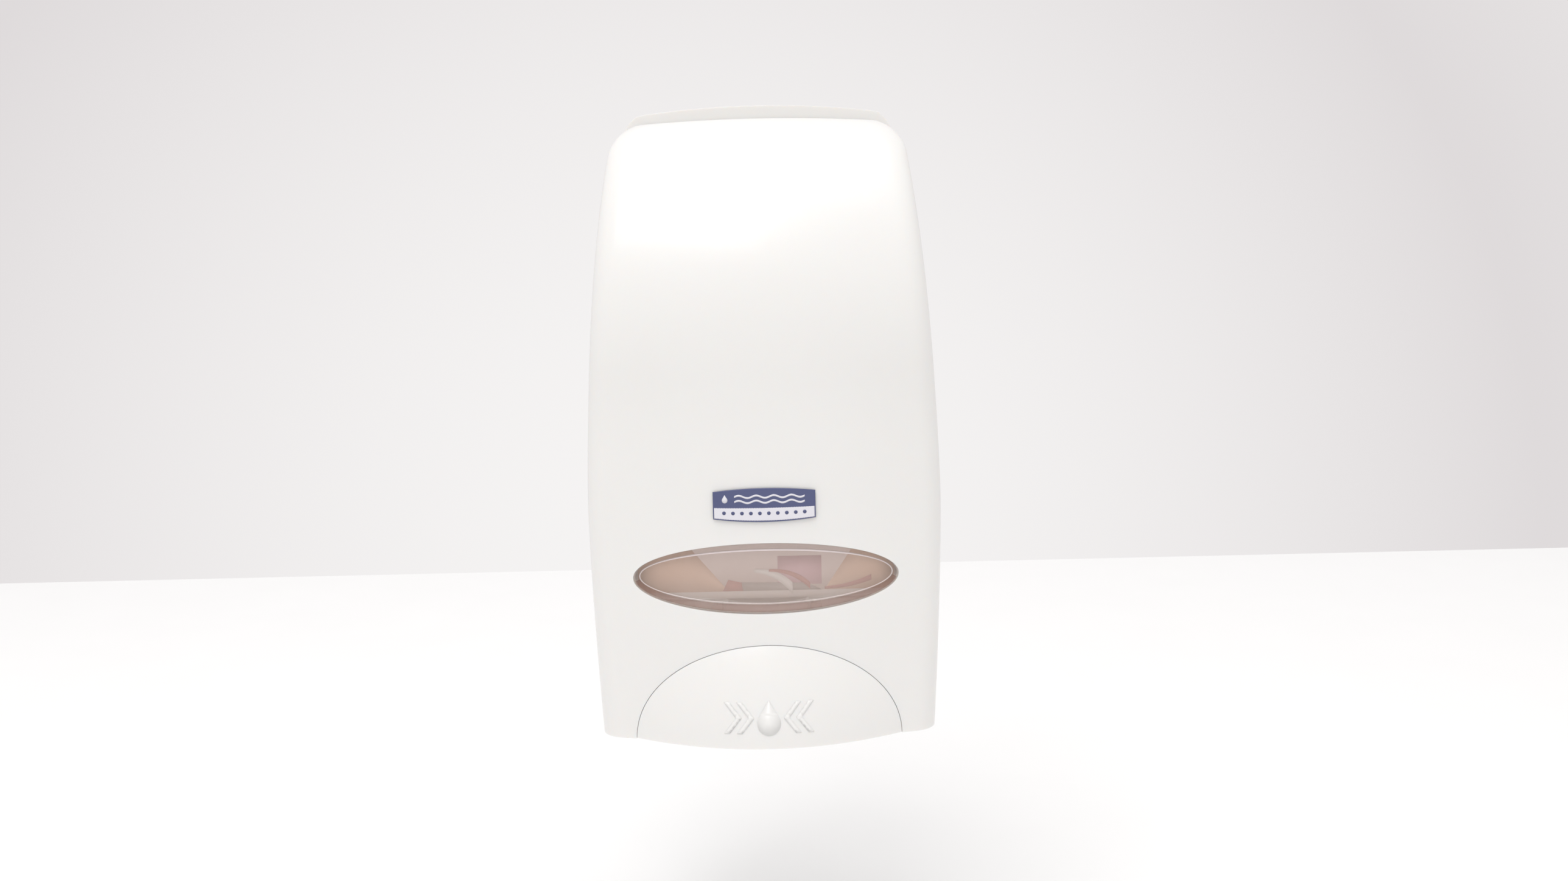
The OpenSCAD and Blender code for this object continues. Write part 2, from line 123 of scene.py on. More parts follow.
TOP_ARCH, ARCH_SPAN = 1.6, 44.0           # fall of the top's edge at this distance from the middle
ARCH_FROM = 150.0                         # height at which it starts


def half_w(h):
    drop, reach = (3.3, BELLY_Z) if h < BELLY_Z else (7.8, 117.0)
    return CASE_W / 2 - drop * (abs(h - BELLY_Z) / reach) ** 1.5


def cover_x(h):
    if h < SHOULDER_Z:
        return half_w(h)
    return half_w(h) - SHOULDER_R + math.sqrt(max(SHOULDER_R ** 2 - (h - SHOULDER_Z) ** 2, 0))


def cover_d(h):
    if h < BEND_Z:
        return BASE_D - SLOPE * h
    if h < BROW_Z:
        return BROW_D + SLOPE * (BROW_Z - h) ** 2 / (BROW_Z - BEND_Z) / 2
    if h < BROW_Z + BROW_R * TOP_SIN:
        return BROW_D - BROW_R + math.sqrt(BROW_R ** 2 - (h - BROW_Z) ** 2)
    return TOP_CD + math.sqrt(max(TOP_R ** 2 - (h - TOP_CZ) ** 2, 0))


def front_d(x, h):
    return cover_d(h) - CROWN * (x / CROWN_SPAN) ** 2


def lever_d(x, h):
    return front_d(x, h) + BULGE * (1 - (x / ARCH_A) ** 2 - (h / ARCH_B) ** 2)


def sag(x, h):
    return TOP_ARCH * (x / ARCH_SPAN) ** 2 * (max(h - ARCH_FROM, 0) / (COVER_TOP - ARCH_FROM)) ** 2


def corner(h):
    """Of the level outline at h: half width, arc centre (x, d), arc's end angle, front's half width"""
    w = cover_x(h)
    tilt = math.atan(2 * CROWN * (w - 0.7 * CORNER_R) / CROWN_SPAN ** 2)
    edge = w - CORNER_R + CORNER_R * math.sin(tilt)
    return w, (w - CORNER_R, front_d(edge, h) - CORNER_R * math.cos(tilt)), math.pi / 2 - tilt, edge


# ---- mesh helpers ----


def placed(name, bm):
    """An object in the scene from a finished bmesh"""
    mesh = bpy.data.meshes.new(name)
    bm.to_mesh(mesh)
    bm.free()
    made = bpy.data.objects.new(name, mesh)
    bpy.context.scene.collection.objects.link(made)
    return made


def add_mesh(name, points, faces, outward=None):
    """An object from points in metres; outward is a point that the first face must look away from"""
    bm = bmesh.new()
    verts = [bm.verts.new(p) for p in points]
    for face in faces:
        if len(set(face)) > 2:
            bm.faces.new([verts[i] for i in dict.fromkeys(face)])
    bmesh.ops.remove_doubles(bm, verts=bm.verts, dist=2e-6)
    bmesh.ops.recalc_face_normals(bm, faces=bm.faces)
    if outward is not None:
        bm.faces.ensure_lookup_table()
        votes = sum(1 if f.normal.dot(f.calc_center_median() - outward) > 0 else -1 for f in bm.faces)
        if votes < 0:
            bmesh.ops.reverse_faces(bm, faces=bm.faces)
    for face in bm.faces:
        face.smooth = True
    return placed(name, bm)


def loft(rings, closed=True, ends=False):
    """Points and quads through rings with the same number of points"""
    n = len(rings[0])
    points = [p for ring in rings for p in ring]
    span = n if closed else n - 1
    faces = [(j * n + i, j * n + (i + 1) % n, (j + 1) * n + (i + 1) % n, (j + 1) * n + i)
             for j in range(len(rings) - 1) for i in range(span)]
    if ends:
        faces += [tuple(range(n)), tuple(range(len(points) - n, len(points)))]
    return points, faces


def thicken(made, depth):
    solid = made.modifiers.new("wall", "SOLIDIFY")
    solid.thickness = depth * MM
    solid.offset = -1
    solid.use_even_offset = True
    return made


def soften(made, width, angle=40, segments=3):
    """Rounds the sharp edges and shades the rest smooth"""
    bevel = made.modifiers.new("edges", "BEVEL")
    bevel.width = width * MM
    bevel.segments = segments
    bevel.limit_method = "ANGLE"
    bevel.angle_limit = math.radians(angle)
    bevel.use_clamp_overlap = True
    weighted = made.modifiers.new("normals", "WEIGHTED_NORMAL")
    weighted.keep_sharp = False
    weighted.weight = 60
    return made


def turned(name, profile, place, axis, steps=64):
    """Turns a closed profile of (radius, along) round an axis, x, d or h, through place"""
    x, d, h = place
    rings = []
    for r, along in profile + profile[:1]:
        ring = []
        for i in range(steps):
            u, v = r * math.cos(2 * math.pi * i / steps), r * math.sin(2 * math.pi * i / steps)
            ring.append({"x": at(x + along, d + u, h + v), "d": at(x + u, d + along, h + v),
                         "h": at(x + u, d + v, h + along)}[axis])
        rings.append(ring)
    points, faces = loft(rings)
    return add_mesh(name, points, faces)


def tube(outer, inner, low, high):
    return [(outer, low), (outer, high), (inner, high), (inner, low)]


def slab(name, outline, low, high, axis, holes=()):
    """A plate between two places along x, d or h, from an outline and round or free holes"""
    loops, flat = [], []
    for loop in (outline, *holes):
        loops.append(list(range(len(flat), len(flat) + len(loop))))
        flat += loop
    rings = [loop + loop[:1] for loop in loops]

    def keep(u, v):
        return within(u, v, outline) and not any(within(u, v, hole) for hole in holes)

    caps, faces = triangulated(flat, rings, keep)
    place = {"x": lambda u, v, w: at(w, u, v),
             "d": lambda u, v, w: at(u, w, v),
             "h": lambda u, v, w: at(u, v, w)}[axis]
    points = [place(u, v, level) for level in (low, high) for u, v in caps]
    return plate(name, points, faces, rings)


def plate(name, points, faces, rings):
    """A solid between two layers of points: faces close the layers and rings lead the side walls"""
    n = len(points) // 2
    sides = [(loop[i], loop[i + 1], loop[i + 1] + n, loop[i] + n)
             for loop in rings for i in range(len(loop) - 1)]
    return add_mesh(name, points, faces + [tuple(i + n for i in face) for face in faces] + sides)


def within(u, v, loop):
    """Whether a point lies inside a polygon"""
    hit = False
    for (u0, v0), (u1, v1) in zip(loop, loop[1:] + loop[:1]):
        if (v0 > v) != (v1 > v) and u < u0 + (u1 - u0) * (v - v0) / (v1 - v0):
            hit = not hit
    return hit


def circle(u, v, r, n=40):
    turns = [2 * math.pi * i / n for i in range(n)]
    return [(u + r * math.cos(t), v + r * math.sin(t)) for t in turns]


def rectangle(u0, u1, v0, v1):
    return [(u0, v0), (u1, v0), (u1, v1), (u0, v1)]


def joined(name, parts):
    """One object from several meshes, which are used up"""
    bm = bmesh.new()
    for part in parts:
        bm.from_mesh(part.data)
        bpy.data.objects.remove(part)
    return placed(name, bm)


def on_rim(co):
    """Whether a point lies on the outline of the tray's front, in its upper part"""
    x, d, h = abs(co.x) / MM, -co.y / MM, (co.z - BASE) / MM
    side = half_w(h) - TRAY_INSET
    if h > RIM_Z:
        side -= RIM_R - math.sqrt(max(RIM_R ** 2 - (h - RIM_Z) ** 2, 0))
    top = TRAY_TOP - TRAY_CROWN * (x / TRAY_SPAN) ** 2
    near = 0.3
    return d > TRAY_D - 0.01 and h > RIM_FROM and (x > side - near or h > top - near)


def refined(node, width=0.35, angle=30, rim=0):
    """A copy of a CAD node with its edges rounded, and by rim round the front of its upper outline"""
    mesh = frame["nodes"][node].data
    faces = [tuple(face.vertices) for face in mesh.polygons]
    made = add_mesh(node + "_fine", [v.co for v in mesh.vertices], faces)
    bm = bmesh.new()
    bm.from_mesh(made.data)
    bmesh.ops.dissolve_limit(bm, angle_limit=math.radians(1), verts=bm.verts, edges=bm.edges)
    bm.to_mesh(made.data)
    bm.free()
    if rim:
        group = made.vertex_groups.new(name="rim")
        edge = [v.index for v in made.data.vertices if on_rim(v.co)]
        group.add(edge, 1.0, "REPLACE")
        bevel = made.modifiers.new("rim", "BEVEL")
        bevel.limit_method = "VGROUP"
        bevel.vertex_group = "rim"
        bevel.width = rim * MM
        bevel.segments = 4
    return soften(made, width, angle)


def coil(name, place, axis, radius, wire, length, turns):
    """A compression spring that starts at place, with a closed turn at each end"""
    x, d, h = place
    steps, around = 36, 12
    rings = []
    total = int(turns * steps)
    closed, slack = 1.0 / turns, 0.3      # a closed turn's share, and its pitch beside an even one
    for i in range(total + 1):
        share = i / total
        if share < closed:
            rise = share * slack
        elif share > 1 - closed:
            rise = 1 - (1 - share) * slack
        else:
            rise = closed * slack + (share - closed) / (1 - 2 * closed) * (1 - 2 * closed * slack)
        along = wire + (length - 2 * wire) * rise
        turn = 2 * math.pi * i / steps
        ring = []
        for k in range(around):
            out = radius + wire * math.cos(2 * math.pi * k / around)
            up = along + wire * math.sin(2 * math.pi * k / around)
            u, v = out * math.cos(turn), out * math.sin(turn)
            ring.append(at(x + u, d + up, h + v) if axis == "d" else at(x + u, d + v, h + up))
        rings.append(ring)
    points, faces = loft(rings, ends=True)
    return add_mesh(name, points, faces)


def ellipse(a, b, cz, n, start=0.0, end=360.0, closed=True):
    steps = n if closed else n - 1
    angles = [math.radians(start + (end - start) * i / steps) for i in range(n)]
    return [(a * math.cos(t), cz + b * math.sin(t)) for t in angles]


def indexed(points, more):
    """Adds a loop's points to a list and gives their places in it"""
    first = len(points)
    points.extend(more)
    return list(range(first, len(points)))


def triangulated(points, loops, keep):
    """Triangles of a flat region: points are (x, h), loops are lists of indices, keep tests a centre"""
    edges = [(loop[i], loop[i + 1]) for loop in loops for i in range(len(loop) - 1)]
    out = delaunay_2d_cdt([Vector(p) for p in points], edges, [], 0, 1e-6)
    flat, faces = out[0], out[2]
    kept = []
    for face in faces:
        cx = sum(flat[i].x for i in face) / 3
        cz = sum(flat[i].y for i in face) / 3
        if keep(cx, cz):
            kept.append(tuple(face))
    return [(v.x, v.y) for v in flat], kept


def inside(x, h, a, b, cz):
    return (x / a) ** 2 + ((h - cz) / b) ** 2 < 1


# ---- materials ----

def nodes_of(material):
    material.use_nodes = True
    tree = material.node_tree
    return tree, tree.nodes["Principled BSDF"]


def ramp_between(tree, factor, low, high, start, stop):
    ramp = tree.nodes.new("ShaderNodeValToRGB")
    ramp.color_ramp.elements[0].position = start
    ramp.color_ramp.elements[1].position = stop
    ramp.color_ramp.elements[0].color = (*low, 1)
    ramp.color_ramp.elements[1].color = (*high, 1)
    tree.links.new(factor, ramp.inputs[0])
    return ramp.outputs[0]


def noise(tree, scale, detail):
    coords = tree.nodes.get("Texture Coordinate") or tree.nodes.new("ShaderNodeTexCoord")
    made = tree.nodes.new("ShaderNodeTexNoise")
    made.inputs["Scale"].default_value = scale
    made.inputs["Detail"].default_value = detail
    made.inputs["Roughness"].default_value = 0.55
    tree.links.new(coords.outputs["Object"], made.inputs["Vector"])
    return made.outputs["Fac"]


def surface(name, colour, rough, metallic=0.0, coat=0.0, variation=0.03, grain=900.0, bump=0.05,
            smudge=0.06, alpha=1.0, subsurface=0.0):
    """A moulded, pressed or turned surface: slight colour drift, smudged gloss and a fine grain"""
    material = bpy.data.materials.new(name)
    tree, shader = nodes_of(material)
    low = [c * (1 - variation) for c in colour]
    high = [min(c * (1 + variation), 1.0) for c in colour]
    drift = ramp_between(tree, noise(tree, 18, 1), low, high, 0.2, 0.8)
    tree.links.new(drift, shader.inputs["Base Color"])
    clean, smudged = [max(rough - smudge, 0.02)] * 3, [rough + smudge] * 3
    gloss = ramp_between(tree, noise(tree, 45, 2), clean, smudged, 0.2, 0.8)
    tree.links.new(gloss, shader.inputs["Roughness"])
    bumps = tree.nodes.new("ShaderNodeBump")
    bumps.inputs["Strength"].default_value = bump
    bumps.inputs["Distance"].default_value = 0.0001
    tree.links.new(noise(tree, grain, 2), bumps.inputs["Height"])
    tree.links.new(bumps.outputs[0], shader.inputs["Normal"])
    shader.inputs["Metallic"].default_value = metallic
    shader.inputs["Coat Weight"].default_value = coat
    shader.inputs["Coat Roughness"].default_value = 0.08
    shader.inputs["IOR"].default_value = 1.5
    shader.inputs["Alpha"].default_value = alpha
    shader.inputs["Subsurface Weight"].default_value = subsurface
    shader.inputs["Subsurface Radius"].default_value = (1.0, 0.7, 0.5)
    shader.inputs["Subsurface Scale"].default_value = 0.002
    return material


WHITE = surface("gloss_white", (0.775, 0.768, 0.752), 0.32, coat=0.15, variation=0.004, bump=0.03,
                smudge=0.03, subsurface=0.25)
RELIEF = surface("relief_white", (0.785, 0.778, 0.762), 0.32, coat=0.15, variation=0.004, bump=0.03,
                 smudge=0.03)
LENS = surface("smoked_lens", (0.80, 0.64, 0.57), 0.1, coat=0.5, variation=0.02, bump=0.01, alpha=0.24)
# dark skin over the lens's lower rim: painted shade
LENS_PAINTED_SHADE = surface("lens_painted_shade", (0.36, 0.22, 0.18), 0.3, variation=0.1, bump=0.01, alpha=0.3)
# pale opaque colour of the lens's bead: a painted highlight line
LENS_BEAD_HIGHLIGHT = surface("lens_bead_painted_highlight", (0.78, 0.70, 0.70), 0.15, coat=0.8, variation=0.02, bump=0.01)
BLUE = surface("badge_blue", (0.068, 0.08, 0.185), 0.4, coat=0.2, variation=0.04, bump=0.03)
BADGE_WHITE = surface("badge_white", (0.70, 0.69, 0.74), 0.4, coat=0.2, variation=0.01, bump=0.03)
GREY = surface("frame_grey", (0.69, 0.69, 0.675), 0.5, variation=0.03, bump=0.12)
PUMP = surface("pump_white", (0.8, 0.8, 0.79), 0.4, variation=0.02, bump=0.08)
STEEL = surface("steel", (0.6, 0.6, 0.61), 0.25, metallic=1.0, variation=0.05, grain=2500, bump=0.1)
RUBBER = surface("rubber", (0.03, 0.03, 0.03), 0.7, variation=0.15, bump=0.2)
SILICONE = surface("silicone", (0.6, 0.6, 0.57), 0.5, variation=0.04, bump=0.06, subsurface=0.2)
BOTTLE = surface("bottle_milky", (0.80, 0.79, 0.77), 0.35, variation=0.03, bump=0.06, subsurface=0.2)
LABEL = surface("label_film", (0.84, 0.76, 0.74), 0.4, variation=0.02, bump=0.03)
LABEL_TAN = surface("label_tan", (0.80, 0.57, 0.42), 0.4, variation=0.05, bump=0.03)
LABEL_PINK = surface("label_pink", (0.66, 0.42, 0.50), 0.4, variation=0.04, bump=0.03)
LABEL_ROSE = surface("label_rose", (0.46, 0.17, 0.15), 0.4, variation=0.06, bump=0.03)
LABEL_GREY = surface("label_grey", (0.36, 0.37, 0.36), 0.4, variation=0.1, bump=0.03)
LABEL_PALE = surface("label_pale", (0.84, 0.86, 0.85), 0.4, variation=0.04, bump=0.03)

CAD_MATERIALS = {"case_white": WHITE, "smoked_lens": LENS, "badge_face": BLUE, "frame_grey": GREY,
                 "bottle_plastic": BOTTLE, "label_paper": LABEL, "pump_white": PUMP,
                 "rubber_dark": RUBBER, "silicone": SILICONE, "steel": STEEL}


def dress(made, material, body, slot, *nodes):
    """Gives a piece its material and its body, and hides the CAD nodes it stands for; slot is not used"""
    made.data.materials.clear()
    made.data.materials.append(material)
    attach(made, body)
    if nodes:
        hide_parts(*nodes)
    return made


# ---- the cover ----

ZONE_TOP = 72.0                           # the holes lie below this height, within the front
FRONT_N, ARC_N, SIDE_N = 50, 10, 8


def cover_back(h):
    """The side's back edge, cut round below the hinge so that the cover can swing"""
    if h > HINGE_Z:
        return COVER_BACK
    return HINGE_D - math.sqrt(max(NOTCH_R ** 2 - (HINGE_Z - h) ** 2, 0))


def cover_ring(h):
    """A level outline from the right back edge round the front to the left one"""
    w, (cx, cd), end, edge = corner(h)
    back = cover_back(h)
    right = [(w, back + (cd - back) * (i / SIDE_N) ** 1.5) for i in range(SIDE_N)]
    right += [(cx + CORNER_R * math.cos(end * i / ARC_N), cd + CORNER_R * math.sin(end * i / ARC_N))
              for i in range(ARC_N + 1)]
    xs = [edge * (1 - 2 * i / FRONT_N) for i in range(1, FRONT_N)]
    front = [(x, front_d(x, h)) for x in xs]
    return right + front + [(-x, d) for x, d in reversed(right)]


def cover_heights():
    start = HINGE_Z + 0.8
    lower = [HINGE_Z * i / 8 for i in range(9)] + [start]
    lower += [start + (ZONE_TOP - start) * i / 28 for i in range(1, 29)]
    middle = [ZONE_TOP + (BROW_Z - ZONE_TOP) * i / 20 for i in range(1, 21)]
    brow = [BROW_Z + BROW_R * math.sin(BROW_LEAN * i / 40) for i in range(1, 41)]
    top = [TOP_CZ + TOP_R * math.sin(BROW_LEAN + (TOP_LEAN - BROW_LEAN) * i / 12) for i in range(1, 13)]
    return lower + middle + brow + top


def cover_holes(heights):
    """The lower front as triangles, with the window and the arch left out"""
    rims = (0.0, 0.6, 1.4, 2.6)
    hole_a, hole_b = WINDOW_A + LENS_GAP, WINDOW_B + LENS_GAP
    points, loops = [], []

    def near_hole(x, h):
        reach = rims[-1] + 1.0
        return (inside(x, h, hole_a + reach, hole_b + reach, WINDOW_Z)
                or inside(x, h, ARCH_A + reach, ARCH_B + reach, 0))

    for rim in rims:
        window = indexed(points, ellipse(hole_a + rim, hole_b + rim, WINDOW_Z, 160))
        arch = indexed(points, ellipse(ARCH_A + rim, ARCH_B + rim, 0, 120, 0, 180, closed=False))
        loops += [window + window[:1], arch]
    edge0 = corner(0)[3]
    for side in (1, -1):
        reach = ARCH_A + rims[-1]
        indexed(points, [(side * (reach + (edge0 - reach) * i / 3), 0) for i in range(1, 4)])
    for h in heights:
        if 0 < h <= ZONE_TOP:
            edge = corner(h)[3]
            xs = [edge * (1 - 2 * i / FRONT_N) for i in range(FRONT_N + 1)]
            indexed(points, [(x, h) for x in xs if abs(x) == edge or h == ZONE_TOP or not near_hole(x, h)])

    def keep(x, h):
        return not (inside(x, h, hole_a, hole_b, WINDOW_Z) or inside(x, h, ARCH_A, ARCH_B, 0))

    flat, faces = triangulated(points, loops, keep)
    return [at(x, front_d(x, h), h) for x, h in flat], faces


def make_cover():
    heights = cover_heights()
    rings = [[at(x, d, h - sag(x, h)) for x, d in cover_ring(h)] for h in heights]
    last = cover_ring(heights[-1])
    for i in range(1, 15):
        s = 1 - i / 14
        rings.append([at(x * s, COVER_BACK + (d - COVER_BACK) * s, heights[-1] - sag(x * s, heights[-1]))
                      for x, d in last])
    points, faces = loft(rings, closed=False)
    n = len(rings[0])
    first, stop = SIDE_N + ARC_N, SIDE_N + ARC_N + FRONT_N
    zone_rows = sum(1 for h in heights if h <= ZONE_TOP) - 1
    faces = [f for f in faces if not (f[0] // n < zone_rows and first <= f[0] % n < stop)]
    more, triangles = cover_holes(heights)
    offset = len(points)
    faces += [tuple(offset + i for i in t) for t in triangles]
    cover = add_mesh("cover_shell", points + more, faces, outward=at(0, 60, 100))
    return soften(thicken(cover, WALL), 0.5)


cover = dress(make_cover(), WHITE, "cover", "case_white", "front_cover")

# ---- the push lever ----


def make_lever():
    rx, rz = ARCH_A - SEAM, ARCH_B - SEAM
    points, loops = [], []

    for rim in (0.0, 0.5, 1.2, 2.2):
        tip = math.degrees(math.asin((LEVER_BASE + rim) / (rz - rim)))
        arc = indexed(points, ellipse(rx - rim, rz - rim, 0, 120, tip, 180 - tip, closed=False))
        half = points[arc[0]][0]
        floor = indexed(points, [(half * (1 - 2 * i / 60), LEVER_BASE + rim) for i in range(59, 0, -1)])
        loop = arc + floor
        loops.append(loop + loop[:1])
        if rim == 0.0:
            outline = [points[i] for i in loop]
    for j in range(1, 16):
        h = LEVER_BASE + 2 * j + 1.2
        for i in range(-22, 23):
            if inside(2 * i, h, rx - 3.2, rz - 3.2, 0):
                points.append((2.0 * i, h))
    flat, faces = triangulated(points, loops, lambda x, h: inside(x, h, rx, rz, 0) and h > LEVER_BASE)
    skin = [at(x, lever_d(x, h), h) for x, h in flat]
    rings = [[at(x, lever_d(x, h) - depth, h) for x, h in outline] for depth in (0, 3, 6, 9)]
    more, sides = loft(rings)
    offset = len(skin)
    faces += [tuple(offset + i for i in f) for f in sides]
    lever = add_mesh("lever_shell", skin + more, faces, outward=at(0, 118, 12))
    return soften(thicken(lever, WALL), 0.9)


lever = dress(make_lever(), WHITE, "lever", "case_white", "push_lever")

# ---- the window's lens ----

RIM, RIM_DEPTH, LENS_T = 2.75, 3.3, 1.8   # width and depth of the rim, thickness of the face
FACE_A, FACE_B = WINDOW_A - RIM, WINDOW_B - RIM


def dish_ring(a, b, off, span=(0, 360), n=144):
    """A ring of the lens's dish: off in front of the cover's surface, its rim narrower at the two ends"""
    wide = a + 0.9 * max(min((WINDOW_A - a) / RIM, a / FACE_A), 0)
    low, high = math.radians(span[0]), math.radians(span[1])
    ring = []
    for i in range(n):
        t = low + (high - low) * i / n
        x, h = wide * math.cos(t), WINDOW_Z + b * math.sin(t)
        ring.append(at(x, front_d(x, h) + off, h))
    return ring


def make_lens():
    """Rings from the face's middle outwards, down the flange and back along the inside"""
    rings = [(FACE_A * k, FACE_B * k, -RIM_DEPTH) for k in (0.001, 0.15, 0.3, 0.45, 0.6, 0.75, 0.88, 0.96)]
    for out, up in ((-0.3, 0.0), (0.0, 0.03), (0.25, 0.16), (0.45, 0.36), (1.2, 1.16), (2.1, 2.2),
                    (2.4, 2.6), (2.5, 2.8), (2.6, 2.93), (2.68, 2.93), (2.75, 2.8)):
        rings.append((FACE_A + out, FACE_B + out, up - RIM_DEPTH))
    for out, off in ((0, -2.9), (FLANGE - 0.2, -2.9), (FLANGE, -3.1), (FLANGE, -4.5), (FLANGE - 0.2, -4.7),
                     (0, -4.7)):
        rings.append((WINDOW_A + out, WINDOW_B + out, off))
    rings.append((FACE_A, FACE_B, -RIM_DEPTH - LENS_T))
    rings += [(FACE_A * k, FACE_B * k, -RIM_DEPTH - LENS_T) for k in (0.8, 0.5, 0.25, 0.001)]
    points, faces = loft([dish_ring(*ring) for ring in rings], ends=True)
    return add_mesh("lens_dish", points, faces, outward=at(0, 122, WINDOW_Z))


def make_painted_shade():
    """A darker skin on the lower part of the lens's rim: painted shade for the dark inside seen through it
    """
    slope = ((0.5, 0.44), (1.2, 1.2), (2.1, 2.24), (2.4, 2.64))
    rings = [(FACE_A + out, FACE_B + out, up + 0.06 - RIM_DEPTH) for out, up in slope]
    rings += [(FACE_A + out, FACE_B + out, up - RIM_DEPTH) for out, up in reversed(slope)]
    columns = list(zip(*[dish_ring(*ring, span=(186, 354)) for ring in rings]))
    return add_mesh("lens_painted_shade", *loft([list(column) for column in columns], ends=True))


def make_bead():
    """The moulded bead round the lens's face, thicker along its top; besides the real gloss it catches,
    its pale opaque colour is a painted highlight line
    """
    around, n = 12, 160
    rings = []
    for k in range(around + 1):
        turn = 2 * math.pi * k / around
        ring = []
        for i in range(n):
            t = 2 * math.pi * i / n
            size = 0.26 + 0.16 * math.sin(t)
            a, b = WINDOW_A - 1.7 + size * math.cos(turn), WINDOW_B - 2.6 + size * math.cos(turn)
            x, h = a * math.cos(t), WINDOW_Z + b * math.sin(t)
            ring.append(at(x, front_d(x, h) - 3.25 + size * math.sin(turn), h))
        rings.append(ring)
    return add_mesh("lens_bead_painted_highlight", *loft(rings))


lens = dress(make_lens(), LENS, "cover", "smoked_lens", "window_lens")
# painted shade on the lower part of the lens's rim
dress(make_painted_shade(), LENS_PAINTED_SHADE, "cover", "smoked_lens")
# the bead's pale colour paints a highlight line round the lens's face
dress(make_bead(), LENS_BEAD_HIGHLIGHT, "cover", "smoked_lens")

# ---- the badge ----

BADGE_X, _, BADGE_H = cad("badge")
BADGE_A = BADGE_X[1]
BADGE_Z = (BADGE_H[0] + BADGE_H[1]) / 2
BADGE_B = (BADGE_H[1] - BADGE_H[0]) / 2
BADGE_SAG = 1.1                           # its long edges curve in by this at the ends


def badge_part(name, low, high, margin, lift, base):
    """A raised plate of the badge between two shares of its height, with rounded edges"""
    steps = ((0.0, 0.3), (0.06, 0.12), (0.16, 0.03), (0.3, 0.0))
    a = BADGE_A - margin

    def spread(lo, hi, count):
        inner = [lo + (hi - lo) * i / count for i in range(1, count)]
        ends = [(lo + inset, drop) for inset, drop in steps]
        back = [(hi - inset, drop) for inset, drop in reversed(steps)]
        return ends + [(v, 0.0) for v in inner if lo + 0.35 < v < hi - 0.35] + back

    cols = spread(-a, a, 40)
    rings = []
    for v, v_drop in spread(low + margin, high - margin, 10):
        row = []
        for x, x_drop in cols:
            h = BADGE_Z + v - math.copysign(BADGE_SAG, v) * (x / BADGE_A) ** 2 * abs(v) / BADGE_B
            row.append(at(x, front_d(x, h) + base + lift - min(lift, max(v_drop, x_drop)), h))
        rings.append(row)
    points, faces = loft(rings, closed=False)
    made = add_mesh(name, points, faces, outward=at(0, 100, BADGE_Z))
    solid = made.modifiers.new("wall", "SOLIDIFY")
    solid.thickness = (lift - 0.05) * MM if lift > 0.4 else lift * MM
    solid.offset = -1
    return made


dress(badge_part("badge_plate", -BADGE_B, BADGE_B, 0.0, 0.7, 0.2), BLUE, "cover", "badge_face", "badge")
dress(badge_part("badge_panel", -BADGE_B + 0.1, -0.5, 0.4, 0.1, 0.9), BADGE_WHITE, "cover", "badge_face",
      "badge")

# ---- the badge's and the lever's symbols ----


def relief(name, outlines, surface_d, low, high):
    """Raised shapes on a curved front: outlines are loops of (x, h)"""
    parts = []
    for k, outline in enumerate(outlines):
        fine = []
        for (x0, h0), (x1, h1) in zip(outline, outline[1:] + outline[:1]):
            cuts = max(int(math.hypot(x1 - x0, h1 - h0) / 0.5), 1)
            fine += [(x0 + (x1 - x0) * c / cuts, h0 + (h1 - h0) * c / cuts) for c in range(cuts)]
        loop = list(range(len(fine))) + [0]
        flat, faces = triangulated(fine, [loop], lambda x, h: within(x, h, fine))
        points = [at(x, surface_d(x, h) + lift, h) for lift in (low, high) for x, h in flat]
        parts.append(plate(name + str(k), points, faces, [loop]))
    return joined(name, parts)


def droplet(cx, cz, r):
    """A drop with its point up, r its round end's radius"""
    lean = math.radians(32)
    arc = [(cx + r * math.cos(t), cz + r * math.sin(t))
           for t in (math.pi - lean + (math.pi + 2 * lean) * c / 28 for c in range(29))]
    return arc + [(cx, cz + r / math.sin(lean))]


def chevron(cx, cz, half, reach, thick):
    """An arrowhead that points along x by reach, which may be negative"""
    back = thick if reach > 0 else -thick
    return [(cx, cz + half), (cx + reach, cz), (cx, cz - half), (cx - back, cz - half),
            (cx - back + reach, cz), (cx - back, cz + half)]


def wave(x0, x1, cz, height, thick, swells):
    xs = [x0 + (x1 - x0) * c / 48 for c in range(49)]
    crest = [cz + height * math.sin(2 * math.pi * swells * (x - x0) / (x1 - x0)) for x in xs]
    line = list(zip(xs, crest))
    return [(x, h + thick / 2) for x, h in line] + [(x, h - thick / 2) for x, h in reversed(line)]


symbol = [droplet(0, 8.6, 3.9)]
for side in (-1, 1):
    symbol += [chevron(side * reach, 10.3, 5.0, -side * 4.0, 1.8) for reach in (13.2, 9.0)]
dress(relief("lever_symbol", symbol, lever_d, -0.3, 0.16), RELIEF, "lever", "case_white")

icons = [droplet(-13.2, BADGE_Z + 1.8, 0.95)]
icons += [wave(-10, 13.6, BADGE_Z + 2.9 - 1.7 * row, 0.42, 0.62, 4) for row in range(2)]
dress(relief("badge_waves", icons, front_d, 0.8, 0.97), BADGE_WHITE, "cover", "badge_face")
dots = [circle(x, BADGE_Z - 2.7 + 0.35 * (x / BADGE_A) ** 2, 0.62, 20)
        for x in (-13.5 + 3 * k for k in range(10))]
dress(relief("badge_dots", dots, front_d, 0.9, 1.03), BLUE, "cover", "badge_face")

# ---- inside the cover and the lever ----

PIVOT_D, PIVOT_Z, PIN_R, RUNNING = 112.0, 38.5, 2.0, 0.05
PUSH_Z = 16.0
HEAD_D = 112.0
CATCH_Z = 201.5

